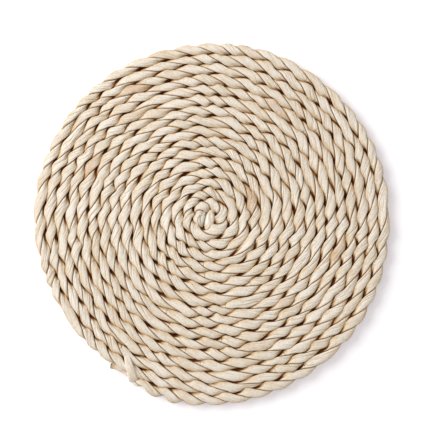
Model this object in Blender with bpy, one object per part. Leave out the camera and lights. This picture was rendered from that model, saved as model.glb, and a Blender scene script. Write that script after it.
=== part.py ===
"""A round corn-husk mat, made of a two-ply husk rope wound flat round a small bud.

Metres, +Z up. The mat lies on Z = 0 and is centred on its outline. Seen from above, the rope
winds clockwise from the bud at the centre to the tail at the rim. Angles round the mat are
clockwise from +Y. Each ply is a chain of husk lengths, and each length is one object.
"""

import math

import bmesh
import bpy
from mathutils import Vector

# The rope and the rows that it is wound in
ROW_PITCH = 0.00645
ROW_GAP = 0.0006
THICKNESS = 0.0084
FIRST_RADIUS = 0.0061
TAIL_RADIUS = 0.1078
TAIL_ANGLE = math.radians(205.0)

# The mat isn't quite round: rows are wider apart on the heavy side
LOPSIDED = 0.027
HEAVY_SIDE = math.radians(155.0)

# The twist: one leaf is the half turn of a ply that shows on top
LEAF_SPACING = 0.0150
EXTRA_LEAVES_A_TURN = 2.4
SEAM_DEPTH = 0.2
PLY_GAP = 0.0004

# The husk lengths: the second ply has one more, because its splices fall between the first's
HUSKS_IN_FIRST_PLY = 27
SPLICE_GAP = 0.0003

# The bud of two folded strands at the centre: shares are of a row pitch
BUD_SHIFT_SHARE = 0.23
BUD_LENGTH_SHARE = 0.43
BUD_CLEARANCE = 0.0007
BUD_SPLIT = 0.0004
BUD_EDGE_ROUNDING = 0.0009
BUD_SIDES = 20

# The tail: the rope thins, a last strand wraps it, and its cut end pokes out beyond
TAPER_LENGTH = 0.030
TAPER_SHARE = 0.25
WRAP_WIDTH = 0.0057
WRAP_THICKNESS = 0.0015
WRAP_BENDS = 8
TAIL_CLEARANCE = 0.00035
STUB_REACH = 0.0085
STUB_TIP_SHARE = 0.55
STUB_STEPS = 6

STATIONS_A_LEAF = 2
CREAM = (0.83, 0.75, 0.62)
CREAM_DEEP = (0.78, 0.68, 0.53)
STRAW = (0.70, 0.57, 0.39)

FIRST_TURN = FIRST_RADIUS / ROW_PITCH
LAST_TURN = TAIL_RADIUS / ROW_PITCH


def angle_at(turn):
    """Clockwise angle from +Y where the rope has made this many turns."""
    return TAIL_ANGLE + 2.0 * math.pi * (turn - LAST_TURN)


def stretch_at(turn):
    """How much wider than the mean the rows are spaced on this side of the mat."""
    return 1.0 + LOPSIDED * math.cos(angle_at(turn) - HEAVY_SIDE)


def rope_length(turn):
    """Length of rope from the spiral's centre to this turn."""
    return math.pi * ROW_PITCH * turn**2


def turn_at_length(length):
    """Turn that the rope has reached after this length."""
    return math.sqrt(length / (math.pi * ROW_PITCH))


def thinning_at(turn):
    """Share of the rope's width that is gone at this turn, which grows over the tail."""
    to_tail = rope_length(LAST_TURN) - rope_length(turn)
    return TAPER_SHARE * max(0.0, 1.0 - to_tail / TAPER_LENGTH)


def half_width_at(turn):
    full = (ROW_PITCH * stretch_at(turn) - ROW_GAP) / 2.0
    return full * (1.0 - thinning_at(turn))


def centre_radius_at(turn):
    """Radius of the rope's middle: a thinned rope stays against the row inside it."""
    lost = (ROW_PITCH * stretch_at(turn) - ROW_GAP) / 2.0 - half_width_at(turn)
    return ROW_PITCH * turn * stretch_at(turn) - lost


def place(turn, outward, height):
    """Point beside the rope's middle: outward from it, and at a height over the floor."""
    angle = angle_at(turn)
    radius = centre_radius_at(turn) + outward
    return Vector((radius * math.sin(angle), radius * math.cos(angle), height))


def turn_beyond(turn, distance):
    """Turn that lies this far along the rope."""
    return turn_at_length(rope_length(turn) + distance)


def leaves_before(turn):
    """Half turns of twist from the spiral's centre to this turn."""
    return math.pi * ROW_PITCH * turn**2 / LEAF_SPACING + EXTRA_LEAVES_A_TURN * turn


def station_at_turn(turn):
    """Stations are counted along the rope from its start."""
    return STATIONS_A_LEAF * (leaves_before(turn) - leaves_before(FIRST_TURN))


def turn_at_station(station):
    leaf = leaves_before(FIRST_TURN) + station / STATIONS_A_LEAF
    growth = math.pi * ROW_PITCH / LEAF_SPACING
    root = math.sqrt(EXTRA_LEAVES_A_TURN**2 + 4.0 * growth * leaf)
    return (root - EXTRA_LEAVES_A_TURN) / (2.0 * growth)


LAST_STATION = math.floor(station_at_turn(LAST_TURN))


def ply_section(station, turn, ply):
    """Half of the rope's section: two corners outside, and two seams against the other ply.

    From station to station the half turns a quarter, from the outer side over the top to the
    inner side and back underneath.
    """
    quarter = (station + STATIONS_A_LEAF * ply) % 4
    facing = Vector(((1, 0), (0, 1), (-1, 0), (0, -1))[quarter])
    across = Vector((-facing.y, facing.x))
    seam = across * (1.0 - SEAM_DEPTH)
    half_height = THICKNESS / 2.0
    ring = []
    for point, gap in (
        (-seam, PLY_GAP / 2.0),
        (facing - across, 0.0),
        (facing + across, 0.0),
        (seam, PLY_GAP / 2.0),
    ):
        outward = point.x * half_width_at(turn) + facing.x * gap
        height = half_height + point.y * half_height + facing.y * gap
        ring.append(place(turn, outward, height))
    return ring


def close_loft(rings, split):
    """Closed body through rings of equal length, with split(side) choosing each diagonal."""
    body = bmesh.new()
    loops = [[body.verts.new(point) for point in ring] for ring in rings]
    sides = len(rings[0])
    for near, far in zip(loops, loops[1:]):
        for side in range(sides):
            after = (side + 1) % sides
            if split(side):
                body.faces.new((near[side], near[after], far[side]))
                body.faces.new((near[after], far[after], far[side]))
            else:
                body.faces.new((near[side], near[after], far[after]))
                body.faces.new((near[side], far[after], far[side]))
    body.faces.new(reversed(loops[0]))
    body.faces.new(loops[-1])
    bmesh.ops.recalc_face_normals(body, faces=body.faces[:])
    return body


def husk_length(first, last, ply):
    """One husk from station to station, drawn back from the next husk at both ends."""
    rings = []
    for station in range(first, last + 1):
        turn = turn_at_station(station)
        if station == first:
            turn = turn_beyond(turn, SPLICE_GAP / 2.0)
        if station == last:
            turn = turn_beyond(turn, -SPLICE_GAP / 2.0)
        rings.append(ply_section(station, turn, ply))
    # The face against the other ply, from the last point to the first, bends inwards
    return close_loft(rings, split=lambda side: side < 3)


def splices(ply):
    """Stations where one husk of a ply follows another, ends of the rope included."""
    start = rope_length(FIRST_TURN)
    whole = rope_length(LAST_TURN) - start
    marks = [0]
    for number in range(1, HUSKS_IN_FIRST_PLY + ply):
        share = (number - 0.5 * ply) / HUSKS_IN_FIRST_PLY
        marks.append(round(station_at_turn(turn_at_length(start + whole * share))))
    return marks + [LAST_STATION]


def bud_half(side):
    """One of the two strands of the bud: half of an oval that fits inside the first row."""
    inside = centre_radius_at(FIRST_TURN) - half_width_at(FIRST_TURN)
    shift = ROW_PITCH * BUD_SHIFT_SHARE
    half_long = inside + ROW_PITCH * BUD_LENGTH_SHARE - BUD_CLEARANCE
    half_wide = inside + shift - BUD_CLEARANCE
    start = angle_at(FIRST_TURN)
    long_way = Vector((math.cos(start), -math.sin(start), 0.0))
    wide_way = Vector((math.sin(start), math.cos(start), 0.0))
    middle = -(long_way + wide_way) * shift

    body = bmesh.new()
    bmesh.ops.create_circle(body, cap_ends=True, segments=BUD_SIDES, radius=1.0)
    for vert in body.verts:
        spot = long_way * vert.co.x * half_long + wide_way * vert.co.y * half_wide
        vert.co = middle + spot
    bmesh.ops.bisect_plane(
        body,
        geom=body.verts[:] + body.edges[:] + body.faces[:],
        plane_co=middle + wide_way * side * BUD_SPLIT / 2.0,
        plane_no=-wide_way * side,
        clear_outer=True,
    )
    grown = bmesh.ops.extrude_face_region(body, geom=body.faces[:])
    top = [item for item in grown["geom"] if isinstance(item, bmesh.types.BMVert)]
    bmesh.ops.translate(body, verts=top, vec=(0.0, 0.0, THICKNESS))
    bmesh.ops.recalc_face_normals(body, faces=body.faces[:])
    rims = [edge for edge in body.edges if abs(edge.verts[0].co.z - edge.verts[1].co.z) < 1e-6]
    bmesh.ops.bevel(
        body,
        geom=rims,
        offset=BUD_EDGE_ROUNDING,
        segments=2,
        profile=0.5,
        affect="EDGES",
        clamp_overlap=True,
        material=-1,
    )
    return body


def wrap_turns():
    """Turns at which the wrap starts and ends, just past the end of the rope."""
    start = turn_beyond(turn_at_station(LAST_STATION), TAIL_CLEARANCE)
    return start, turn_beyond(start, WRAP_WIDTH)


def tail_wrap():
    """Last strand, bent like a C over the top, round the rim and back under the stub."""
    start, end = wrap_turns()
    half_wide = half_width_at(start)
    half_high = THICKNESS / 2.0
    rings = []
    for bend in range(WRAP_BENDS + 1):
        lean = math.pi * (0.5 - bend / WRAP_BENDS)
        ring = []
        for turn, inset in ((start, 0.0), (end, 0.0), (end, WRAP_THICKNESS), (start, WRAP_THICKNESS)):
            outward = -half_wide + (2.0 * half_wide - inset) * math.cos(lean)
            height = half_high + (half_high - inset) * math.sin(lean)
            ring.append(place(turn, outward, height))
        rings.append(ring)
    return close_loft(rings, split=lambda side: True)


def tail_stub():
    """Cut end of the rope: it passes inside the wrap, narrows and stops beyond it."""
    start, end = wrap_turns()
    stop = turn_beyond(end, STUB_REACH)
    half_wide = half_width_at(start)
    room = 2.0 * half_wide - WRAP_THICKNESS - TAIL_CLEARANCE
    half_high = THICKNESS / 2.0 - WRAP_THICKNESS - TAIL_CLEARANCE
    # An oval that stays inside the wrap's own oval
    snug = math.sqrt(0.5)
    rings = []
    for step in range(STUB_STEPS + 1):
        along = step / STUB_STEPS
        turn = start + (stop - start) * along
        narrow = 1.0 - (1.0 - STUB_TIP_SHARE) * along**2
        ring = []
        for outward, height in ((0.0, -snug), (snug, -snug), (snug, snug), (0.0, snug)):
            beside = -half_wide + outward * room * narrow
            ring.append(place(turn, beside, THICKNESS / 2.0 + height * half_high * narrow))
        rings.append(ring)
    return close_loft(rings, split=lambda side: True)


def make_material(name, colour, roughness):
    material = bpy.data.materials.new(name)
    material.use_nodes = True
    shader = material.node_tree.nodes["Principled BSDF"]
    shader.inputs["Base Color"].default_value = (*colour, 1.0)
    shader.inputs["Roughness"].default_value = roughness
    shader.inputs["Metallic"].default_value = 0.0
    material.diffuse_color = (*colour, 1.0)
    return material


def add_object(name, body, colour, collection, parent):
    """Object with its own mesh and its own husk material, under the mat's centre."""
    mesh = bpy.data.meshes.new(name)
    body.to_mesh(mesh)
    body.free()
    mesh.materials.append(make_material(name, colour, 0.8))
    obj = bpy.data.objects.new(name, mesh)
    obj.parent = parent
    collection.objects.link(obj)
    return obj


def centre_on_outline(centre, pieces):
    """Move the spiral's centre so that the whole outline is centred on the origin."""
    corners = [vert.co for piece in pieces for vert in piece.data.vertices]
    for axis in (0, 1):
        low = min(corner[axis] for corner in corners)
        high = max(corner[axis] for corner in corners)
        centre.location[axis] = -(low + high) / 2.0


def build_mat():
    for obj in list(bpy.data.objects):
        bpy.data.objects.remove(obj, do_unlink=True)
    mat = bpy.data.collections.new("corn_husk_mat")
    bpy.context.scene.collection.children.link(mat)
    centre = bpy.data.objects.new("spiral_centre", None)
    mat.objects.link(centre)

    pieces = []
    for ply, letter, colour in ((0, "a", CREAM), (1, "b", CREAM_DEEP)):
        marks = splices(ply)
        for number, (first, last) in enumerate(zip(marks, marks[1:]), start=1):
            husk = husk_length(first, last, ply)
            pieces.append(add_object(f"husk_{letter}_{number:02d}", husk, colour, mat, centre))
    pieces.append(add_object("bud_strand_outer", bud_half(1), CREAM, mat, centre))
    pieces.append(add_object("bud_strand_inner", bud_half(-1), CREAM, mat, centre))
    pieces.append(add_object("tail_wrap", tail_wrap(), CREAM, mat, centre))
    pieces.append(add_object("tail_stub", tail_stub(), STRAW, mat, centre))
    centre_on_outline(centre, pieces)
    bpy.context.view_layer.update()


build_mat()
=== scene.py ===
"""Looks of a round corn-husk mat: the husk strands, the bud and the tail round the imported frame."""

import math

import bmesh
import bpy
import numpy as np
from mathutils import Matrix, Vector


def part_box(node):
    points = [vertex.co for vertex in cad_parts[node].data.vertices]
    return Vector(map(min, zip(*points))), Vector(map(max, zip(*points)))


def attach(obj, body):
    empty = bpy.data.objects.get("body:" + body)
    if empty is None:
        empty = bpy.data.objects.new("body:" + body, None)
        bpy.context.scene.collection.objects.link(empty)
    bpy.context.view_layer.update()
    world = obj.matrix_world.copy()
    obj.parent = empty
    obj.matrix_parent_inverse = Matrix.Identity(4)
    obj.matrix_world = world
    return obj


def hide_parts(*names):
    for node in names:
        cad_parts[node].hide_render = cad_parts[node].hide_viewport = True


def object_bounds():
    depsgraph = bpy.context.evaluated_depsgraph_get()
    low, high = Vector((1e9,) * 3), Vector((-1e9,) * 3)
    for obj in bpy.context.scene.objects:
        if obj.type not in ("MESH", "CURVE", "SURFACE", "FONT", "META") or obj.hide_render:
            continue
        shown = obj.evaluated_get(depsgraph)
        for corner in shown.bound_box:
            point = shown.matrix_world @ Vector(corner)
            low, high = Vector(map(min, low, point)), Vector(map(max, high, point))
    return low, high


bl_info = {
    "name": "Corn Husk Mat",
    "version": (1, 0, 0),
    "blender": (4, 5, 0),
    "location": "3D View > Sidebar > Husk Mat",
    "description": "Builds the husk strands, the bud and the tail of a mat wound from twisted rope",
    "category": "Add Mesh",
}

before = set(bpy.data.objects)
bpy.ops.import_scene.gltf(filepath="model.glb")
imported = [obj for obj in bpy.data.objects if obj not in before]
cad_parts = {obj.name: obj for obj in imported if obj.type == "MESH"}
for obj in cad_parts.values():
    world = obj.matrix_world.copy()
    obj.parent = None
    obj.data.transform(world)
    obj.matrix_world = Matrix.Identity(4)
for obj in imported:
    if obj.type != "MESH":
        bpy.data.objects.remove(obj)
CAD_BOX = [list(corner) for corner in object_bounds()]
MM = 0.001
TURN = 2.0 * math.pi
# Marks that the husk's colour reads: painted shade where deep, painted shade near a leaf's tips, the
# leaf's own tone, and how creased, for painted shade in creases
MARKS = "husk_tone_and_shade"  # how deep, how near a leaf's tip, the leaf's tone, how creased
STRAND_MAP = "strand"  # metres along a strand and round it
NOISE_CELLS = 4096
TWIST_STEPS = 20000
SEAM_REACH = 1e-7
CORNER_CUTS = 4  # how often the corners of a lone strand's path are cut off
LONE_STEP, LONE_POINTS = 0.4 * MM, 41  # between its rings, and round it
LIFT = 0.02 * MM  # lowest that husk lies over the floor
PLY_STAGGER = 1.5 * MM  # how much later the second ply starts
BUD_LEAN = math.radians(13.0)  # clockwise turn of the bud's folds
WRAP_SLANT = math.radians(42.0)  # from the rope's end to the way that the wrap crosses it

# Where round the rope each change to a leaf begins and is full, in degrees. At the tip they
# count from the leaf's start, and at the start they count down to it.
TIP_SINKS, START_SINKS = (108.0, 172.0), (-62.0, 0.0)
# Below: where the painted shade at both ends of a leaf, a straw tan, begins and is full
TIP_SHADES, START_SHADES = (96.0, 165.0), (-72.0, -12.0)
TIP_PIT, START_PIT = (126.0, 170.0), (-46.0, -6.0)
RIM_TURN = math.radians(22.0)  # how far past its widest place a leaf bulges from the rim

# Creases and folded edges of husk: how many, and the lengths over which they drift and fade
CREASES, CREASE_DRIFT, CREASE_FADE, CREASE_SPREAD = 8, 0.026, 0.008, 0.012
FOLDS, FOLD_DRIFT, FOLD_FADE, FOLD_WIDTH = 3, 0.022, 0.011, 0.035
# A crease's colour is painted shade, the deeper the crease the darker
CREASE_FULL = 0.10  # depth at which a crease has all its colour

# Fibres of husk, in ridges a metre along a strand and round it, and its grain
RIBS, HAIRS = (110.0, 950.0, 1.0), (380.0, 3000.0, 1.0)
CRINKLE, MOTTLE = 820.0, 160.0
RELIEF = 0.6

FLOOR_SIDE = 6.0
# Painted light: the floor glows lavender outside the mat, which lifts and tints the mat's cast shadow
GLOW_FROM, GLOW_FULL = 0.096, 0.112  # the floor glows only from here outward
CAMERA_AIM, CAMERA_RISE = (0.0015, 0.0051), 0.7213


class HUSKMAT_PG_sizes(bpy.types.PropertyGroup):
    """Driving sizes of the wound rope, the same as the frame's."""

    row_pitch: bpy.props.FloatProperty(
        name="Row Pitch", description="From one row of rope to the next",
        default=0.00645, unit="LENGTH", precision=5)
    first_radius: bpy.props.FloatProperty(
        name="First Radius", description="Radius at which the rope starts",
        default=0.0061, unit="LENGTH", precision=5)
    tail_radius: bpy.props.FloatProperty(
        name="Tail Radius", description="Radius at which the rope ends",
        default=0.1078, unit="LENGTH", precision=5)
    tail_angle: bpy.props.FloatProperty(
        name="Tail Angle", description="Clockwise angle of the tail from the far side",
        default=math.radians(205.0), unit="ROTATION")
    lopsided: bpy.props.FloatProperty(
        name="Lopsidedness", description="How much wider the rows are on the heavy side",
        default=0.027, subtype="FACTOR", precision=3)
    heavy_side: bpy.props.FloatProperty(
        name="Heavy Side", description="Clockwise angle of the side with the widest rows",
        default=math.radians(155.0), unit="ROTATION")
    leaf_spacing: bpy.props.FloatProperty(
        name="Leaf Spacing", description="Rope length of one half turn of twist",
        default=0.0150, unit="LENGTH", precision=5)
    extra_leaves: bpy.props.FloatProperty(
        name="Extra Leaves", description="Half turns of twist that each row gains near the middle",
        default=2.4)
    taper_length: bpy.props.FloatProperty(
        name="Taper Length", description="Length over which the rope thins before its tail",
        default=0.030, unit="LENGTH", precision=4)
    taper_share: bpy.props.FloatProperty(
        name="Taper Share", description="How much thinner the rope is at its tail",
        default=0.25, subtype="FACTOR")
    husks: bpy.props.IntProperty(
        name="Husks", description="Husk lengths in the first ply; the second ply has one more",
        default=27)
    ring_step: bpy.props.FloatProperty(
        name="Ring Step", description="Rope length between two rings of a strand",
        default=0.0008, unit="LENGTH", precision=5)
    ring_points: bpy.props.IntProperty(
        name="Ring Points", description="Points round a strand", default=52)


class HUSKMAT_PG_leaves(bpy.types.PropertyGroup):
    """Shape of one leaf, the part of a strand that shows between two crossings."""

    reach: bpy.props.FloatProperty(
        name="Reach", description="Width of a strand before its neighbours press it, in half rows",
        default=1.17, subtype="FACTOR", soft_max=2.0)
    squareness: bpy.props.FloatProperty(
        name="Squareness", description="Flatness of the rope's top; smaller is flatter",
        default=0.235, subtype="FACTOR")
    zigzag: bpy.props.FloatProperty(
        name="Zigzag", description="How far a leaf pushes into the next row",
        default=0.00115, unit="LENGTH", precision=5)
    lean: bpy.props.FloatProperty(
        name="Lean", description="How far each row lies over the row outside it",
        default=0.00015, unit="LENGTH", precision=5)
    pinch: bpy.props.FloatProperty(
        name="Pinch", description="How much a strand sinks at the tip of a leaf",
        default=0.42, subtype="FACTOR")
    crease: bpy.props.FloatProperty(
        name="Crease", description="Depth of the creases, as a share of the rope's radius",
        default=0.075, subtype="FACTOR")
    wander: bpy.props.FloatProperty(
        name="Wander", description="How far the rows stray from an even spiral",
        default=0.00038, unit="LENGTH", precision=5)
    uneven: bpy.props.FloatProperty(
        name="Unevenness", description="How much leaves differ in height and length",
        default=0.42, subtype="FACTOR")


class HUSKMAT_PG_ends(bpy.types.PropertyGroup):
    """Sizes of the bud at the rope's start and of the tail at its end."""

    start_length: bpy.props.FloatProperty(
        name="Start Length", description="Rope that curls round the bud before the first row",
        default=0.0105, unit="LENGTH", precision=4)
    bud_length: bpy.props.FloatProperty(
        name="Bud Length", description="Length of the bud's larger fold",
        default=0.0122, unit="LENGTH", precision=4)
    bud_width: bpy.props.FloatProperty(
        name="Bud Width", description="Width of the bud's larger fold",
        default=0.0056, unit="LENGTH", precision=4)
    wrap_width: bpy.props.FloatProperty(
        name="Wrap Width", description="Width of the strand that crosses over the rope's end",
        default=0.0058, unit="LENGTH", precision=4)
    stub_reach: bpy.props.FloatProperty(
        name="Stub Reach", description="How far the cut end pokes out past the wrap",
        default=0.0120, unit="LENGTH", precision=4)


class HUSKMAT_PG_colours(bpy.types.PropertyGroup):
    """Colours of dried husk, with the painted shade of its creases, tips and crevices."""

    bleached: bpy.props.FloatVectorProperty(
        name="Bleached Husk", description="Face of the palest leaves of both plies",
        subtype="COLOR", size=3, default=(0.86, 0.825, 0.765))
    pale: bpy.props.FloatVectorProperty(
        name="Pale Husk", description="Clean face of the first ply",
        subtype="COLOR", size=3, default=(0.765, 0.71, 0.62))
    warm: bpy.props.FloatVectorProperty(
        name="Warm Husk", description="Clean face of the second ply",
        subtype="COLOR", size=3, default=(0.745, 0.68, 0.58))
    # Straw tints the streaks and grain, and is also the painted shade at leaf tips, in creases and
    # towards the strands' insides
    straw: bpy.props.FloatVectorProperty(
        name="Straw", description="Leaf tips and creases",
        subtype="COLOR", size=3, default=(0.54, 0.338, 0.135))
    rust: bpy.props.FloatVectorProperty(
        name="Rust", description="The few leaves that dried reddish",
        subtype="COLOR", size=3, default=(0.52, 0.28, 0.13))
    # Painted shade: the dark brown that the deepest crevices between strands are painted
    crevice_shade: bpy.props.FloatVectorProperty(
        name="Crevice Shade", description="Deep between strands",
        subtype="COLOR", size=3, default=(0.185, 0.048, 0.008))


class HUSKMAT_PG_stage(bpy.types.PropertyGroup):
    """Floor and light round the mat."""

    floor: bpy.props.FloatVectorProperty(
        name="Floor", description="Colour of the floor",
        subtype="COLOR", size=3, default=(0.92, 0.915, 0.925))
    # Painted light: the glow lightens the mat's shadow on the floor and tints it lavender
    glow: bpy.props.FloatVectorProperty(
        name="Floor Glow", description="Light that the floor gives off round the mat",
        subtype="COLOR", size=3, default=(0.92, 0.88, 1.0))
    glow_strength: bpy.props.FloatProperty(
        name="Glow Strength", description="How strongly the floor glows", default=0.22)
    room: bpy.props.FloatVectorProperty(
        name="Room Light", description="Colour of the light from all round",
        subtype="COLOR", size=3, default=(1.0, 0.98, 0.965))
    room_strength: bpy.props.FloatProperty(
        name="Room Strength", description="Strength of the light from all round", default=0.60)
    lamp: bpy.props.FloatVectorProperty(
        name="Lamp", description="Colour of the lamp",
        subtype="COLOR", size=3, default=(0.99, 0.985, 0.975))
    lamp_power: bpy.props.FloatProperty(
        name="Lamp Power", description="Power of the lamp", default=20.4, unit="POWER")
    lamp_size: bpy.props.FloatProperty(
        name="Lamp Size", description="Side of the square lamp", default=1.10, unit="LENGTH")
    lamp_place: bpy.props.FloatVectorProperty(
        name="Lamp Place", description="Where the lamp stands",
        subtype="TRANSLATION", size=3, default=(-0.96, 0.50, 0.80))


def bud_middle():
    """Middle of the box round both of the frame's bud strands, seen from above."""
    boxes = [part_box("bud_strand_outer"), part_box("bud_strand_inner")]
    return [(min(box[0][axis] for box in boxes) + max(box[1][axis] for box in boxes)) / 2.0
            for axis in (0, 1)]


class Spiral:
    """Where the rope runs, by turns from the middle: lengths, angles, radii and twist."""

    def __init__(self, sizes, leaves, ends):
        self.sizes, self.shape, self.ends = sizes, leaves, ends
        self.pitch = sizes.row_pitch
        self.first = sizes.first_radius / self.pitch
        self.last = sizes.tail_radius / self.pitch
        self.height = CAD_BOX[1][2]
        self.centre = self.find_centre()

    def find_centre(self):
        """Middle of the spiral, found from the frame's bud, which lies to one side of it."""
        start = self.angle(self.first)
        shift = 0.23 * self.pitch
        along = (math.cos(start) + math.sin(start), math.cos(start) - math.sin(start))
        return [middle + part * shift for middle, part in zip(bud_middle(), along)]

    def length(self, turn):
        """Rope length from the middle to a turn."""
        return math.pi * self.pitch * turn**2

    def turn(self, length):
        """Turn at a rope length; before the first row, the rope keeps the first radius."""
        short = np.maximum(self.length(self.first) - length, 0.0)
        wound = np.sqrt(np.maximum(length, self.length(self.first)) / (math.pi * self.pitch))
        return wound - short / (TURN * self.sizes.first_radius)

    def angle(self, turn):
        """Clockwise angle from the far side."""
        return self.sizes.tail_angle + TURN * (turn - self.last)

    def half_row(self, turn):
        """Half the width of a row, which is wider on the heavy side."""
        stretch = 1.0 + self.sizes.lopsided * np.cos(self.angle(turn) - self.sizes.heavy_side)
        return self.pitch * stretch / 2.0

    def radius(self, turn):
        """Distance of the rope's middle from the spiral's."""
        return 2.0 * self.half_row(turn) * np.maximum(turn, self.first)

    def twist(self, turn):
        """Twist of the rope, a little uneven from leaf to leaf."""
        def leaves(at):
            return self.length(at) / self.sizes.leaf_spacing + self.sizes.extra_leaves * at
        leaf = leaves(turn) - leaves(self.first)
        return math.pi * (leaf + self.shape.uneven * smooth_noise(leaf / 1.7, 11))

    def thinning(self, turn):
        """How much thinner the rope is here than along its rows."""
        left = self.length(self.last) - self.length(turn)
        return self.sizes.taper_share * np.clip(1.0 - left / self.sizes.taper_length, 0.0, 1.0)

    def place(self, turn, outward, height):
        """Points at these turns, this far outward from the rope's middle and this high."""
        reach, angle = self.radius(turn) + outward, self.angle(turn)
        waves = np.sin(3.0 * angle + reach / 0.020)
        waves = waves + 0.7 * np.sin(7.0 * angle + 1.3 - reach / 0.013)
        reach = reach + self.shape.wander * waves * ease(reach, 0.008, 0.030)
        return np.stack([
            self.centre[0] + reach * np.sin(angle),
            self.centre[1] + reach * np.cos(angle),
            height + 0.0 * reach,
        ], axis=-1)


def smooth_noise(where, seed):
    """Smooth random values from -1 to 1 along a line, the same each run."""
    table = np.random.default_rng(seed).uniform(-1.0, 1.0, NOISE_CELLS)
    cell = np.floor(where).astype(int)
    part = where - cell
    part = part * part * (3.0 - 2.0 * part)
    near, far = table[cell % NOISE_CELLS], table[(cell + 1) % NOISE_CELLS]
    return near + (far - near) * part


def ease(value, low, high):
    """0 below low, 1 above high, and smooth between them."""
    part = np.clip((value - low) / (high - low), 0.0, 1.0)
    return part * part * (3.0 - 2.0 * part)


def ease_round(angle, span):
    """The same between the two angles of a span in degrees."""
    return ease(angle, math.radians(span[0]), math.radians(span[1]))


def soft_limit(value, limit, softness):
    """Value that eases into an upper limit."""
    return limit - softness * np.logaddexp(0.0, (limit - value) / softness)


def bump(phase, middle, reach):
    """Smooth bump on a phase that repeats every half turn."""
    away = (phase - middle + math.pi / 2.0) % math.pi - math.pi / 2.0
    return np.exp(-((away / reach) ** 2))


def row_border(spiral, turn, up):
    """How far the border with the row outside it strays outward from halfway.

    Each leaf pushes its blunt start into the next row and draws its tip in. Above, the
    start is on the outside of a row, and below, it is on the inside.
    """
    inner, outer = spiral.twist(turn), spiral.twist(turn + 1.0)
    blunt, tip, reach = math.radians(40.0), math.radians(140.0), 0.80
    inner_push = 0.85 + 0.75 * smooth_noise(inner / math.pi, 21)
    outer_push = 0.85 + 0.75 * smooth_noise(outer / math.pi, 22)
    above = inner_push * bump(inner, blunt, reach) - outer_push * bump(outer, tip, reach)
    below = outer_push * bump(outer, blunt, reach) - inner_push * bump(inner, tip, reach)
    lean, zigzag = spiral.shape.lean, spiral.shape.zigzag
    share = (1.0 + up) / 2.0
    return (lean + zigzag * above) * share - (lean + zigzag * below) * (1.0 - share)


def skin_creases(skin, lengths, seed, deep):
    """Depth of the lengthwise creases and folded edges of a husk, as a share of its radius."""
    along = lengths[:, None]
    total = 0.0 * skin * along
    for number in range(CREASES):
        path = smooth_noise(along / CREASE_DRIFT + 7.7 * number, seed * 17 + number)
        depth = deep * (0.20 + smooth_noise(along / CREASE_FADE, seed * 23 + number))
        width = 0.060 + 0.025 * smooth_noise(along / CREASE_SPREAD, seed * 29 + number)
        total = total + np.maximum(depth, 0.0) * np.exp(-(((skin - path) / width) ** 2))
    for number in range(FOLDS):
        path = 0.9 * smooth_noise(along / FOLD_DRIFT + 3.3 * number, seed * 41 + number)
        past = (skin - path) / FOLD_WIDTH
        shown = smooth_noise(along / FOLD_FADE, seed * 43 + number)
        depth = 0.75 * deep * np.clip(shown, 0.0, 1.0)
        edge = 1.0 / (1.0 + np.exp(-np.clip(past, -30.0, 30.0)))
        total = total + depth * edge * np.exp(-np.maximum(past, 0.0) / 6.0)
    return total


def free_rim(spiral, turn):
    """Half width of the last row on its free side, where each leaf bulges from the rim."""
    scallop = np.abs(np.cos(spiral.twist(turn) - RIM_TURN)) ** 0.8
    loose = 0.38 + 0.55 * ease(turn, spiral.last - 0.075, spiral.last - 0.03)
    return spiral.half_row(turn) * (0.80 + loose * scallop - 3.4 * spiral.thinning(turn))


def row_room(spiral, turn, up, before, bare):
    """Room that a strand has outward and inward of the rope's middle.

    before is the rope length left to the first row, and bare is 1 on the last row's free
    side. The rope's start curls in tight, and the first row also fills in beside the bud.
    """
    half_row = spiral.half_row(turn)
    outer = half_row + row_border(spiral, turn, up)
    outer = outer * (1.0 - bare) + free_rim(spiral, turn) * bare
    inner = half_row - row_border(spiral, turn - 1.0, up)
    curl = ease(before, -2.0 * MM, 4.0 * MM)
    outer, inner = outer * (1.0 - 0.18 * curl), inner * (1.0 - 0.30 * curl)
    beside_bud = ease(-turn, -spiral.first - 0.95, -spiral.first - 0.50) * (1.0 - curl)
    return outer, inner + (1.4 + 0.9 * (1.0 - up)) * MM * beside_bud


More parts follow.
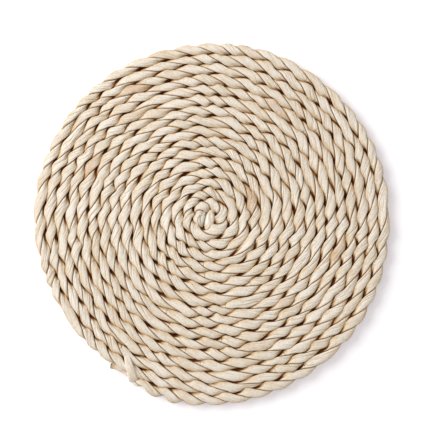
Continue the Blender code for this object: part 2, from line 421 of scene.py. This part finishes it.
def strand_points(spiral, ply, lengths, seed):
    """Rings of one strand of the rope, and the marks that its husk reads."""
    shape = spiral.shape
    turn = spiral.turn(lengths)[:, None]
    even = np.linspace(-1.0, 1.0, spiral.sizes.ring_points)
    skin = 0.62 * even + 0.38 * np.sin(even * math.pi / 2.0)
    skin = np.append(skin, skin[0])[None, :]
    phase = spiral.twist(turn) + math.pi * ply
    own = smooth_noise(phase / math.pi, 100 + ply)

    # Angle round the rope's skin, and where on its leaf each point lies
    theta = phase + skin * (math.pi / 2.0 + 0.03)
    crossing = theta % math.pi  # 0 where a leaf starts, pi at the row's other side
    tip_side, start_side = ease(-skin, -0.3, 0.5), ease(skin, 0.0, 0.8)
    tip = ease_round(crossing, TIP_SINKS) * tip_side
    start = ease_round(-crossing, START_SINKS) * start_side
    # Painted shade: straw tan at both ends of each leaf, where the strand turns down under the other
    # ply
    end_shade = np.maximum(
        ease_round(crossing, TIP_SHADES), 0.9 * ease_round(-crossing, START_SHADES))

    # The edges of a strand turn in, most of all at its tips, but its wall against the next
    # row stays whole. Beside a leaf's ends the strand draws back and leaves a pit.
    side = np.cos(theta) ** 2
    edge = np.where(skin > 0.0, 13.0 - 5.5 * side, 10.0 - 4.5 * side) * (1.0 + 0.25 * own)
    deep = np.clip(1.0 - np.abs(skin) ** edge, 0.0, 1.0) ** np.where(skin > 0.0, 0.45, 0.55)
    wall = ease(side, 0.972, 0.999)
    pit = 0.50 * ease_round(crossing, TIP_PIT) * tip_side
    pit = pit + 0.25 * ease_round(-crossing, START_PIT) * start_side
    pit = pit * np.clip(0.80 + 1.3 * smooth_noise(phase / math.pi + 40.0, 500 + ply), 0.12, 1.5)
    creases = skin_creases(skin, lengths, seed, shape.crease)
    swell = 0.030 * smooth_noise(skin * 2.2 + lengths[:, None] / 0.009, seed * 31)
    rho = np.maximum(0.14 + 0.86 * deep, 0.90 * wall) * (1.0 - creases + swell)

    # The rope thins out at both of its ends
    curled = spiral.ends.start_length
    before = spiral.length(spiral.first) - lengths[:, None]
    left = spiral.length(spiral.last) - lengths[:, None]
    rho = rho * (1.0 - 0.55 * ease(-left, -5.0 * MM, 0.0))
    rho = rho * (1.0 - 0.60 * ease(before, 0.45 * curled, curled))

    # Across the row and up, on a rounded square, before the neighbours press the strand
    half_high = spiral.height / 2.0
    bite = 0.975
    across = shape.reach * rho * np.arcsin(bite * np.cos(theta)) / math.asin(bite)
    across = across * (1.0 - pit * (1.0 - wall))
    upright = np.sign(np.sin(theta)) * (np.abs(np.sin(theta)) + 1e-4) ** shape.squareness
    sink = 1.0 - shape.pinch * tip - 0.22 * start
    high = half_high * rho * sink * upright * (0.985 + 0.20 * shape.uneven * own)

    up = np.clip(high / half_high, -1.0, 1.0)
    bare = ease(turn, spiral.last - 1.006, spiral.last - 0.998)
    room_out, room_in = row_room(spiral, turn, up, before, bare)
    overlap, softness = 0.04 * MM, 0.10 * MM
    outward = across * np.where(across > 0.0, room_out, room_in)
    outward = soft_limit(outward, room_out + overlap, softness)
    outward = -soft_limit(-outward, room_in + overlap, softness)
    points = spiral.place(turn, outward, np.maximum(half_high + high, LIFT))

    # Marks: what lies under a neighbour or low down is inside, except on the bare rim; inside is
    # painted shade, the darkening where neighbours shade the strand
    rim = bare * (across > 0.0)
    hidden = ease(np.abs(across), 0.90, 1.14) * (1.0 - rim)
    sunk = ease(1.0 - np.abs(up), 0.20, 0.72) * (1.0 - 0.85 * rim)
    inside = np.maximum(np.maximum(0.55 * hidden, 0.85 * sunk), ease(1.0 - deep, 0.06, 0.70))
    inside = np.maximum(inside, 0.36 * ease(np.abs(skin), 0.82, 0.96))
    above = np.sin(theta) > 0.0
    leaf = np.where(above, 2.0 * np.floor((phase + math.pi / 2.0) / TURN),
                    2.0 * np.floor((phase - math.pi / 2.0) / TURN) + 1.0)
    tone = 0.5 + 0.5 * smooth_noise(leaf * 3.7 + 0.5, 300 + ply)
    # Painted shade in the creases, darker as they deepen
    creased = np.clip(creases / CREASE_FULL, 0.0, 1.0)
    return points, np.stack([inside, end_shade, tone, creased], axis=-1)


def smooth_path(corners, step):
    """Evenly spaced points along a smooth line near these corners."""
    path = np.array(corners, float)
    for _ in range(CORNER_CUTS):
        near, far = path[:-1], path[1:]
        cut = np.stack([0.75 * near + 0.25 * far, 0.25 * near + 0.75 * far], axis=1)
        path = np.concatenate([path[:1], cut.reshape(-1, 3), path[-1:]])
    away = np.concatenate([[0.0], np.cumsum(np.linalg.norm(np.diff(path, axis=0), axis=1))])
    at = np.linspace(0.0, away[-1], int(round(away[-1] / step)) + 1)
    return np.stack([np.interp(at, away, path[:, axis]) for axis in range(3)], axis=-1), at


def lone_strand(corners, widths, thicknesses, seed, straw, crease, across=None):
    """Rings of a strand that lies outside the rope, along these corners.

    widths and thicknesses are half sizes at even steps from its start to its end, straw
    is how much straw tan its start and its end take, and across is the way that its width
    faces, where that doesn't turn with the strand.
    """
    path, at = smooth_path(corners, LONE_STEP)
    share = at / at[-1]
    steps = np.linspace(0.0, 1.0, len(widths))
    wide = np.interp(share, steps, widths)[:, None, None]
    thick = np.interp(share, steps, thicknesses)[:, None, None]
    along = np.gradient(path, axis=0)
    along /= np.linalg.norm(along, axis=1)[:, None]
    if across is None:
        sideways = np.stack([along[:, 1], -along[:, 0], 0.0 * at], axis=-1)
    else:
        sideways = np.tile(np.array(across, float), (len(at), 1))
    sideways /= np.linalg.norm(sideways, axis=1)[:, None]
    upward = np.cross(sideways, along)
    angle = np.linspace(0.0, TURN, LONE_POINTS)[None, :]
    skin = angle / math.pi - 1.0
    creases = skin_creases(skin, at, seed, crease) + skin_creases(skin, at + 0.4, seed + 5, crease)
    swell = 0.03 * smooth_noise(np.abs(skin) * 4.0 + at[:, None] / 0.006, seed + 9)
    rho = (1.0 - creases + swell)[:, :, None]
    cos, sin = np.cos(angle), np.sin(angle)
    square = 0.82
    side = (np.sign(cos) * np.abs(cos) ** square)[:, :, None]
    top = (np.sign(sin) * np.abs(sin) ** square)[:, :, None]
    points = path[:, None, :] + rho * (
        wide * side * sideways[:, None, :] + thick * top * upward[:, None, :])
    points[..., 2] = np.maximum(points[..., 2], LIFT)
    ends = straw[0] * ease(-share, -0.35, 0.0) + straw[1] * ease(share, 0.65, 1.0)
    ends = ends[:, None]
    # Painted shade: the underside is marked inside and darkened, and so are the most tanned ends
    inside = 0.55 * ease(-sin, -0.25, 0.6) + 0.30 * ends * ease(ends, 0.6, 1.0)
    creased = np.clip(creases / CREASE_FULL, 0.0, 1.0)
    flat = 0.0 * creases
    marks = np.stack([inside + flat, ends + flat, 0.45 + flat, creased], axis=-1)
    return points, marks, at


def roll_strand(name, points, marks, lengths):
    """A strand's mesh: a flat grid is rolled to the rings, then seamed and closed."""
    rings, around = points.shape[:2]

    # A flat grid with a map
    body = bmesh.new()
    body.loops.layers.uv.new(STRAND_MAP)
    bmesh.ops.create_grid(
        body, x_segments=rings - 1, y_segments=around - 1, size=1.0, calc_uvs=True)
    mesh = bpy.data.meshes.new(name)
    body.to_mesh(mesh)
    body.free()

    # Its rows become the rings, with their marks and their lengths on the map
    flat = np.zeros(len(mesh.vertices) * 3, np.float32)
    mesh.vertices.foreach_get("co", flat)
    flat = flat.reshape(-1, 3)
    row = np.rint((flat[:, 0] + 1.0) / 2.0 * (rings - 1)).astype(int)
    column = np.rint((flat[:, 1] + 1.0) / 2.0 * (around - 1)).astype(int)
    girth = np.linalg.norm(np.diff(points[rings // 2], axis=0), axis=-1).sum()
    corners = np.zeros(len(mesh.loops), np.int32)
    mesh.loops.foreach_get("vertex_index", corners)
    strand_map = [lengths[row[corners]], girth * column[corners] / (around - 1)]
    mesh.uv_layers[STRAND_MAP].uv.foreach_set(
        "vector", np.stack(strand_map, axis=-1).astype(np.float32).ravel())
    layer = mesh.attributes.new(MARKS, "FLOAT_COLOR", "POINT")
    layer.data.foreach_set("color", marks[row, column].astype(np.float32).ravel())
    mesh.vertices.foreach_set("co", points[row, column].astype(np.float32).ravel())

    # The seam is merged and both ends are capped
    body = bmesh.new()
    body.from_mesh(mesh)
    bmesh.ops.remove_doubles(body, verts=body.verts[:], dist=SEAM_REACH)
    rims = [edge for edge in body.edges if edge.is_boundary]
    bmesh.ops.holes_fill(body, edges=rims, sides=0)
    bmesh.ops.recalc_face_normals(body, faces=body.faces[:])
    for face in body.faces:
        face.smooth = True
    body.to_mesh(mesh)
    body.free()
    return mesh


def add_piece(name, mesh, material, node):
    """Put a finished mesh in the scene as the piece that stands for a frame node."""
    mesh.materials.append(material)
    piece = bpy.data.objects.new(name, mesh)
    bpy.context.scene.collection.objects.link(piece)
    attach(piece, "root")
    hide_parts(node)


# ---------------------------------------------------------------- husk materials


def new_group(name, inputs, outputs):
    """Empty shader node group with these sockets, as (name, type, default) each."""
    group = bpy.data.node_groups.new(name, "ShaderNodeTree")
    for in_out, sockets in (("INPUT", inputs), ("OUTPUT", outputs)):
        for title, kind, default in sockets:
            socket = group.interface.new_socket(
                name=title, in_out=in_out, socket_type="NodeSocket" + kind)
            if default is not None:
                socket.default_value = default
    return group, group.nodes.new("NodeGroupInput"), group.nodes.new("NodeGroupOutput")


def math_node(tree, operation, first, second):
    """Two masks or numbers, added or multiplied."""
    node = tree.nodes.new("ShaderNodeMath")
    node.operation = operation
    for socket, value in zip(node.inputs, (first, second)):
        if isinstance(value, (int, float)):
            socket.default_value = value
        else:
            tree.links.new(value, socket)
    return node.outputs[0]


def sum_node(tree, *parts):
    """Masks added up, given as (mask, weight) each."""
    total = None
    for mask, weight in parts:
        share = math_node(tree, "MULTIPLY", mask, weight)
        total = share if total is None else math_node(tree, "ADD", total, share)
    return total


def range_node(tree, value, low, high, to_low=0.0, to_high=1.0):
    """A mask that runs smoothly from to_low to to_high as the value goes from low to high."""
    node = tree.nodes.new("ShaderNodeMapRange")
    node.interpolation_type = "SMOOTHSTEP"
    tree.links.new(value, node.inputs["Value"])
    for title, number in (("From Min", low), ("From Max", high),
                          ("To Min", to_low), ("To Max", to_high)):
        node.inputs[title].default_value = number
    return node.outputs["Result"]


def noise_node(tree, vector, scale, detail, roughness):
    """Even noise on these coordinates."""
    node = tree.nodes.new("ShaderNodeTexNoise")
    tree.links.new(vector, node.inputs["Vector"])
    node.inputs["Scale"].default_value = scale
    node.inputs["Detail"].default_value = detail
    node.inputs["Roughness"].default_value = roughness
    return node.outputs["Fac"]


def ridge_node(tree, vector, ridges, detail, roughness):
    """Noise drawn out along a strand, with this many ridges a metre each way."""
    node = tree.nodes.new("ShaderNodeMapping")
    tree.links.new(vector, node.inputs["Vector"])
    node.inputs["Scale"].default_value = ridges
    return noise_node(tree, node.outputs["Vector"], 1.0, detail, roughness)


def mix_node(tree, factor, first, second):
    """One colour at a factor of 0, the other at 1."""
    node = tree.nodes.new("ShaderNodeMix")
    node.data_type = "RGBA"
    tree.links.new(factor, node.inputs["Factor"])
    for title, colour in (("A", first), ("B", second)):
        if isinstance(colour, tuple):
            node.inputs[title].default_value = colour
        else:
            tree.links.new(colour, node.inputs[title])
    return node.outputs["Result"]


def tint_node(tree, colour, tint, mark, low, high, strength=1.0):
    """A colour that takes a tint, up to this strength, as a mark goes from low to high."""
    return mix_node(tree, range_node(tree, mark, low, high, 0.0, strength), colour, tint)


def fibre_group():
    """Lengthwise fibres of husk: their relief, and streaks for its colour."""
    found = bpy.data.node_groups.get("Husk Fibres")
    if found:
        return found
    group, taken, given = new_group(
        "Husk Fibres",
        [("Strand Map", "Vector", None), ("Place", "Vector", None)],
        [("Relief", "Float", None), ("Streaks", "Float", None), ("Mottle", "Float", None)])
    strand, place = taken.outputs["Strand Map"], taken.outputs["Place"]
    ribs = ridge_node(group, strand, RIBS, 4.0, 0.62)
    hairs = ridge_node(group, strand, HAIRS, 2.0, 0.6)
    crinkle = noise_node(group, place, CRINKLE, 3.0, 0.65)
    mottle = noise_node(group, place, MOTTLE, 3.0, 0.6)
    for title, parts in (("Relief", ((ribs, 0.62), (hairs, 0.20), (crinkle, 0.55))),
                         ("Streaks", ((ribs, 0.65), (hairs, 0.35))),
                         ("Mottle", ((mottle, 0.45), (crinkle, 0.55)))):
        group.links.new(sum_node(group, *parts), given.inputs[title])
    return group


def tone_group():
    """Colour of husk: clean face, streaks and rust, with painted shade as straw tips and creases and
    brown crevices.
    """
    found = bpy.data.node_groups.get("Husk Tones")
    if found:
        return found
    colours = bpy.context.scene.husk_colours
    group, taken, given = new_group(
        "Husk Tones",
        [("Face", "Color", (*colours.pale, 1.0)), ("Straw", "Color", (*colours.straw, 1.0)),
         ("Rust", "Color", (*colours.rust, 1.0)), ("Crevice Shade", "Color", (*colours.crevice_shade, 1.0)),
         ("Inside", "Float", 0.0), ("Tip", "Float", 0.0), ("Tone", "Float", 0.5),
         ("Crease", "Float", 0.0), ("Streaks", "Float", 0.5), ("Mottle", "Float", 0.5)],
        [("Color", "Color", None), ("Roughness", "Float", None)])
    socket = taken.outputs
    straw, grain = socket["Straw"], socket["Mottle"]

    # The face, which is bleached most on the leaves of the lowest tone
    colour = mix_node(group, range_node(group, socket["Tone"], 0.0, 0.9, 0.55, 0.0),
                      socket["Face"], (*colours.bleached, 1.0))
    colour = tint_node(group, colour, straw, socket["Streaks"], 0.46, 0.64, 0.26)
    colour = tint_node(group, colour, straw, grain, 0.45, 0.60, 0.22)

    # The few leaves of the highest tone are reddish
    reddish = math_node(group, "MULTIPLY", range_node(group, socket["Tone"], 0.90, 0.99),
                        range_node(group, grain, 0.35, 0.65, 0.25, 0.75))
    colour = mix_node(group, reddish, colour, socket["Rust"])

    # Painted shade: straw brown in creases, at a leaf's ends and towards its inside, where it gets
    # dark crevice brown
    colour = tint_node(group, colour, straw, socket["Crease"], 0.15, 1.0, 0.26)
    # Painted shade at a leaf's ends, broken up by the grain
    tip_shade = math_node(group, "MULTIPLY", socket["Tip"],
                       range_node(group, grain, 0.3, 0.7, 0.28, 0.70))
    colour = mix_node(group, tip_shade, colour, straw)
    colour = tint_node(group, colour, straw, socket["Inside"], 0.0, 0.40, 0.80)
    colour = tint_node(group, colour, socket["Crevice Shade"], socket["Inside"], 0.42, 0.82)

    rough = range_node(group, socket["Streaks"], 0.3, 0.7, 0.56, 0.74)
    group.links.new(colour, given.inputs["Color"])
    group.links.new(rough, given.inputs["Roughness"])
    return group


def husk_material(name, face):
    """Dried husk with this clean face colour."""
    found = bpy.data.materials.get(name)
    if found:
        return found
    material = bpy.data.materials.new(name)
    material.use_nodes = True
    tree = material.node_tree
    shader = tree.nodes["Principled BSDF"]
    shader.inputs["IOR"].default_value = 1.45
    shader.inputs["Specular IOR Level"].default_value = 0.12
    strand = tree.nodes.new("ShaderNodeUVMap")
    strand.uv_map = STRAND_MAP
    place = tree.nodes.new("ShaderNodeTexCoord")
    marks = tree.nodes.new("ShaderNodeAttribute")
    marks.attribute_name = MARKS
    split = tree.nodes.new("ShaderNodeSeparateColor")
    tree.links.new(marks.outputs["Color"], split.inputs["Color"])
    fibres = tree.nodes.new("ShaderNodeGroup")
    fibres.node_tree = fibre_group()
    tree.links.new(strand.outputs["UV"], fibres.inputs["Strand Map"])
    tree.links.new(place.outputs["Object"], fibres.inputs["Place"])
    tones = tree.nodes.new("ShaderNodeGroup")
    tones.node_tree = tone_group()
    tones.inputs["Face"].default_value = (*face, 1.0)
    for title, value in (("Inside", split.outputs["Red"]), ("Tip", split.outputs["Green"]),
                         ("Tone", split.outputs["Blue"]), ("Crease", marks.outputs["Alpha"]),
                         ("Streaks", fibres.outputs["Streaks"]),
                         ("Mottle", fibres.outputs["Mottle"])):
        tree.links.new(value, tones.inputs[title])
    tree.links.new(tones.outputs["Color"], shader.inputs["Base Color"])
    tree.links.new(tones.outputs["Roughness"], shader.inputs["Roughness"])
    raised = tree.nodes.new("ShaderNodeBump")
    raised.inputs["Strength"].default_value = RELIEF
    raised.inputs["Distance"].default_value = MM
    tree.links.new(fibres.outputs["Relief"], raised.inputs["Height"])
    tree.links.new(raised.outputs["Normal"], shader.inputs["Normal"])
    return material


# ---------------------------------------------------------------- pieces and stage


class HUSKMAT_OT_strands(bpy.types.Operator):
    """Add every husk strand of both plies, each between two of its splices"""

    bl_idname = "huskmat.add_strands"
    bl_label = "Add Husk Strands"

    def execute(self, context):
        scene = context.scene
        spiral = Spiral(scene.husk_sizes, scene.husk_leaves, scene.husk_ends)
        first, last = spiral.length(spiral.first), spiral.length(spiral.last)
        table = np.linspace(first, last, TWIST_STEPS)
        twist = spiral.twist(spiral.turn(table))
        colours = scene.husk_colours
        for ply, letter, slot, face in ((0, "a", "husk_pale", colours.pale),
                                        (1, "b", "husk_warm", colours.warm)):
            material = husk_material("dried_" + slot, face)
            ends = [first - scene.husk_ends.start_length + PLY_STAGGER * ply]
            for number in range(1, spiral.sizes.husks + ply):
                # A splice lies where its ply is buried under the other
                splice = first + (last - first) * (number - 0.5 * ply) / spiral.sizes.husks
                phase = np.interp(splice, table, twist) + math.pi * ply
                buried = math.pi + TURN * round((phase - math.pi) / TURN)
                ends.append(float(np.interp(buried - math.pi * ply, twist, table)))
            ends.append(last)
            for number, (low, high) in enumerate(zip(ends, ends[1:]), start=1):
                count = int(round((high - low) / spiral.sizes.ring_step)) + 1
                lengths = np.linspace(low, high, count)
                points, marks = strand_points(spiral, ply, lengths, 1000 * ply + number)
                name = f"strand_{letter}_{number:02d}"
                mesh = roll_strand(name, points, marks, lengths)
                add_piece(name, mesh, material, f"husk_{letter}_{number:02d}")
        return {"FINISHED"}


class HUSKMAT_OT_bud(bpy.types.Operator):
    """Add the two folded ends of husk that the rope starts round"""

    bl_idname = "huskmat.add_bud"
    bl_label = "Add Bud"

    def execute(self, context):
        ends = context.scene.husk_ends
        colours = context.scene.husk_colours
        material = husk_material("dried_husk_bud", colours.pale)
        middle = bud_middle()
        high = CAD_BOX[1][2] / 2.0
        up_way = np.array([math.sin(BUD_LEAN), math.cos(BUD_LEAN), 0.0])
        side_way = np.array([math.cos(BUD_LEAN), -math.sin(BUD_LEAN), 0.0])
        centre = np.array([middle[0] - 0.7 * MM, middle[1] - 0.1 * MM, high])
        long, wide = ends.bud_length / 2.0, ends.bud_width / 2.0
        for name, node, seed, side, half, half_width, bow, drop in (
                ("bud_fold_large", "bud_strand_inner", 71,
                 0.55 * MM, long, 1.12 * wide, 0.9 * MM, 0.0),
                ("bud_fold_small", "bud_strand_outer", 83,
                 -3.45 * MM, 0.80 * long, 0.66 * wide, -0.7 * MM, 0.5 * MM)):
            corners = []
            for share in np.linspace(-1.0, 1.0, 7):
                out = side + bow * (1.0 - share**2) - 0.5 * bow
                corners.append(centre + up_way * half * share + side_way * out)
            full = (high - drop) * 0.99
            widths = [half_width * part for part in (0.35, 0.80, 0.98, 1.0, 0.98, 0.78, 0.32)]
            heights = [full * part for part in (0.70, 0.92, 0.99, 1.0, 0.99, 0.93, 0.74)]
            points, marks, at = lone_strand(
                corners, widths, heights, seed, straw=(0.5, 0.5), crease=0.07)
            mesh = roll_strand(name, points, marks, at)
            add_piece(name, mesh, material, node)
        return {"FINISHED"}


class HUSKMAT_OT_tail(bpy.types.Operator):
    """Add the strand that crosses over the rope's end, and the cut end that pokes out"""

    bl_idname = "huskmat.add_tail"
    bl_label = "Add Tail"

    def execute(self, context):
        scene = context.scene
        spiral = Spiral(scene.husk_sizes, scene.husk_leaves, scene.husk_ends)
        ends, colours = scene.husk_ends, scene.husk_colours
        high = CAD_BOX[1][2]
        low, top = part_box("tail_wrap")
        under_rim = np.array([
            (low[0] + top[0]) / 2.0 - 2.4 * MM, (low[1] + top[1]) / 2.0 + 2.9 * MM, 0.0])
        slant = spiral.angle(spiral.last) - WRAP_SLANT + math.pi
        inward = np.array([math.sin(slant), math.cos(slant), 0.0])
        across = np.array([-inward[1], inward[0], 0.0])
        wide = ends.wrap_width / 2.0
        # From its buried start over the outer row, down past the rim and back under it
        corners = []
        for reach, height in ((14.6, 6.2), (13.4, 7.6), (11.0, 8.3), (7.5, 8.6), (2.5, 8.5),
                              (-0.8, 7.7), (-2.2, 5.8), (-2.4, 3.3), (-1.4, 1.2), (2.0, 0.7)):
            corners.append(under_rim + inward * reach * MM + [0.0, 0.0, height * MM])
        widths = [wide * part for part in (0.45, 0.68, 0.80, 0.86, 0.98, 1.08, 1.0, 0.8, 0.6)]
        thick = [part * MM for part in (0.7, 0.9, 1.0, 1.0, 0.95, 0.9, 0.85, 0.8, 0.6)]
        points, marks, at = lone_strand(
            corners, widths, thick, 57, straw=(0.15, 0.9), crease=0.14, across=across)
        mesh = roll_strand("tail_wrap_strand", points, marks, at)
        husk = husk_material("dried_husk_wrap", colours.pale)
        add_piece("tail_wrap_strand", mesh, husk, "tail_wrap")

        # The cut end runs on along the last row, behind the wrap, and out past it
        rope_end = spiral.length(spiral.last)
        corners = []
        for along, outward, height in ((-5.0, -2.2, 0.5), (2.0, -2.8, 0.5), (5.5, -2.8, 0.5),
                                       (8.5, -2.3, 0.53), (11.0, -1.1, 0.60)):
            turn = spiral.turn(rope_end + (along + ends.stub_reach / MM - 8.0) * MM)
            corners.append(spiral.place(turn, outward * MM, height * high))
        widths = [part * MM for part in (2.3, 2.1, 1.9, 1.8, 1.7)]
        thick = [part * MM for part in (3.0, 2.6, 2.1, 1.7, 1.3)]
        points, marks, at = lone_strand(
            corners, widths, thick, 63, straw=(0.35, 1.0), crease=0.13)
        mesh = roll_strand("tail_cut_end", points, marks, at)
        cut = husk_material("dried_husk_cut_end", colours.warm)
        add_piece("tail_cut_end", mesh, cut, "tail_stub")
        return {"FINISHED"}


class HUSKMAT_OT_stage(bpy.types.Operator):
    """Add the pale floor, the soft light and the camera straight above the mat"""

    bl_idname = "huskmat.add_stage"
    bl_label = "Add Stage"

    def execute(self, context):
        scene, stage = context.scene, context.scene.husk_stage
        scene.view_settings.view_transform = "Standard"
        self.add_floor(scene, stage)

        world = bpy.data.worlds.new("room")
        scene.world = world
        world.use_nodes = True
        room = world.node_tree.nodes["Background"]
        room.inputs["Color"].default_value = (*stage.room, 1.0)
        room.inputs["Strength"].default_value = stage.room_strength

        light = bpy.data.lights.new("key", "AREA")
        light.size, light.energy, light.color = stage.lamp_size, stage.lamp_power, stage.lamp
        lamp = bpy.data.objects.new("key", light)
        scene.collection.objects.link(lamp)
        lamp.location = stage.lamp_place
        lamp.rotation_euler = (-Vector(stage.lamp_place)).to_track_quat("-Z", "Y").to_euler()

        camera = bpy.data.cameras.new("camera")
        camera.lens, camera.sensor_width = 100.0, 36.0
        camera.clip_start = 0.01
        eye = bpy.data.objects.new("camera", camera)
        scene.collection.objects.link(eye)
        eye.location = (*CAMERA_AIM, CAD_BOX[1][2] + CAMERA_RISE)
        scene.camera = eye
        return {"FINISHED"}

    def add_floor(self, scene, stage):
        """Add a plain floor, which glows a little outside the mat: painted light that lightens the
        mat's cast shadow and tints it lavender.
        """
        body = bmesh.new()
        bmesh.ops.create_grid(body, x_segments=1, y_segments=1, size=FLOOR_SIDE / 2.0)
        mesh = bpy.data.meshes.new("floor")
        body.to_mesh(mesh)
        body.free()
        floor = bpy.data.objects.new("floor", mesh)
        scene.collection.objects.link(floor)
        paper = bpy.data.materials.new("floor_paper")
        paper.use_nodes = True
        tree = paper.node_tree
        shader = tree.nodes["Principled BSDF"]
        shader.inputs["Base Color"].default_value = (*stage.floor, 1.0)
        shader.inputs["Roughness"].default_value = 0.9
        shader.inputs["Emission Strength"].default_value = stage.glow_strength
        place = tree.nodes.new("ShaderNodeTexCoord")
        away = tree.nodes.new("ShaderNodeVectorMath")
        away.operation = "LENGTH"
        tree.links.new(place.outputs["Object"], away.inputs[0])
        # Painted light: the floor glows lavender from beyond the mat's edge, lifting its cast shadow
        beyond = range_node(tree, away.outputs["Value"], GLOW_FROM, GLOW_FULL)
        glow = mix_node(tree, beyond, (0.0, 0.0, 0.0, 1.0), (*stage.glow, 1.0))
        tree.links.new(glow, shader.inputs["Emission Color"])
        mesh.materials.append(paper)


class HUSKMAT_PT_panel(bpy.types.Panel):
    """Sizes, colours and build steps of the mat"""

    bl_label = "Corn Husk Mat"
    bl_idname = "HUSKMAT_PT_panel"
    bl_space_type = "VIEW_3D"
    bl_region_type = "UI"
    bl_category = "Husk Mat"

    def draw(self, context):
        for name in GROUPS:
            group = getattr(context.scene, name)
            column = self.layout.box().column()
            for title in group.__annotations__:
                column.prop(group, title)
        for step in STEPS:
            self.layout.operator(step.bl_idname)


STEPS = (HUSKMAT_OT_strands, HUSKMAT_OT_bud, HUSKMAT_OT_tail, HUSKMAT_OT_stage)
GROUPS = {
    "husk_sizes": HUSKMAT_PG_sizes,
    "husk_leaves": HUSKMAT_PG_leaves,
    "husk_ends": HUSKMAT_PG_ends,
    "husk_colours": HUSKMAT_PG_colours,
    "husk_stage": HUSKMAT_PG_stage,
}


def register():
    """Register the settings, the build steps and the panel."""
    for group in GROUPS.values():
        bpy.utils.register_class(group)
    for name, group in GROUPS.items():
        setattr(bpy.types.Scene, name, bpy.props.PointerProperty(type=group))
    for step in (*STEPS, HUSKMAT_PT_panel):
        bpy.utils.register_class(step)


def unregister():
    """Take them out again, in the opposite order."""
    for step in (HUSKMAT_PT_panel, *reversed(STEPS)):
        bpy.utils.unregister_class(step)
    for name, group in GROUPS.items():
        delattr(bpy.types.Scene, name)
        bpy.utils.unregister_class(group)


def main():
    """Build the mat and its stage."""
    register()
    bpy.ops.huskmat.add_strands()
    bpy.ops.huskmat.add_bud()
    bpy.ops.huskmat.add_tail()
    bpy.ops.huskmat.add_stage()


if __name__ == "__main__":
    main()
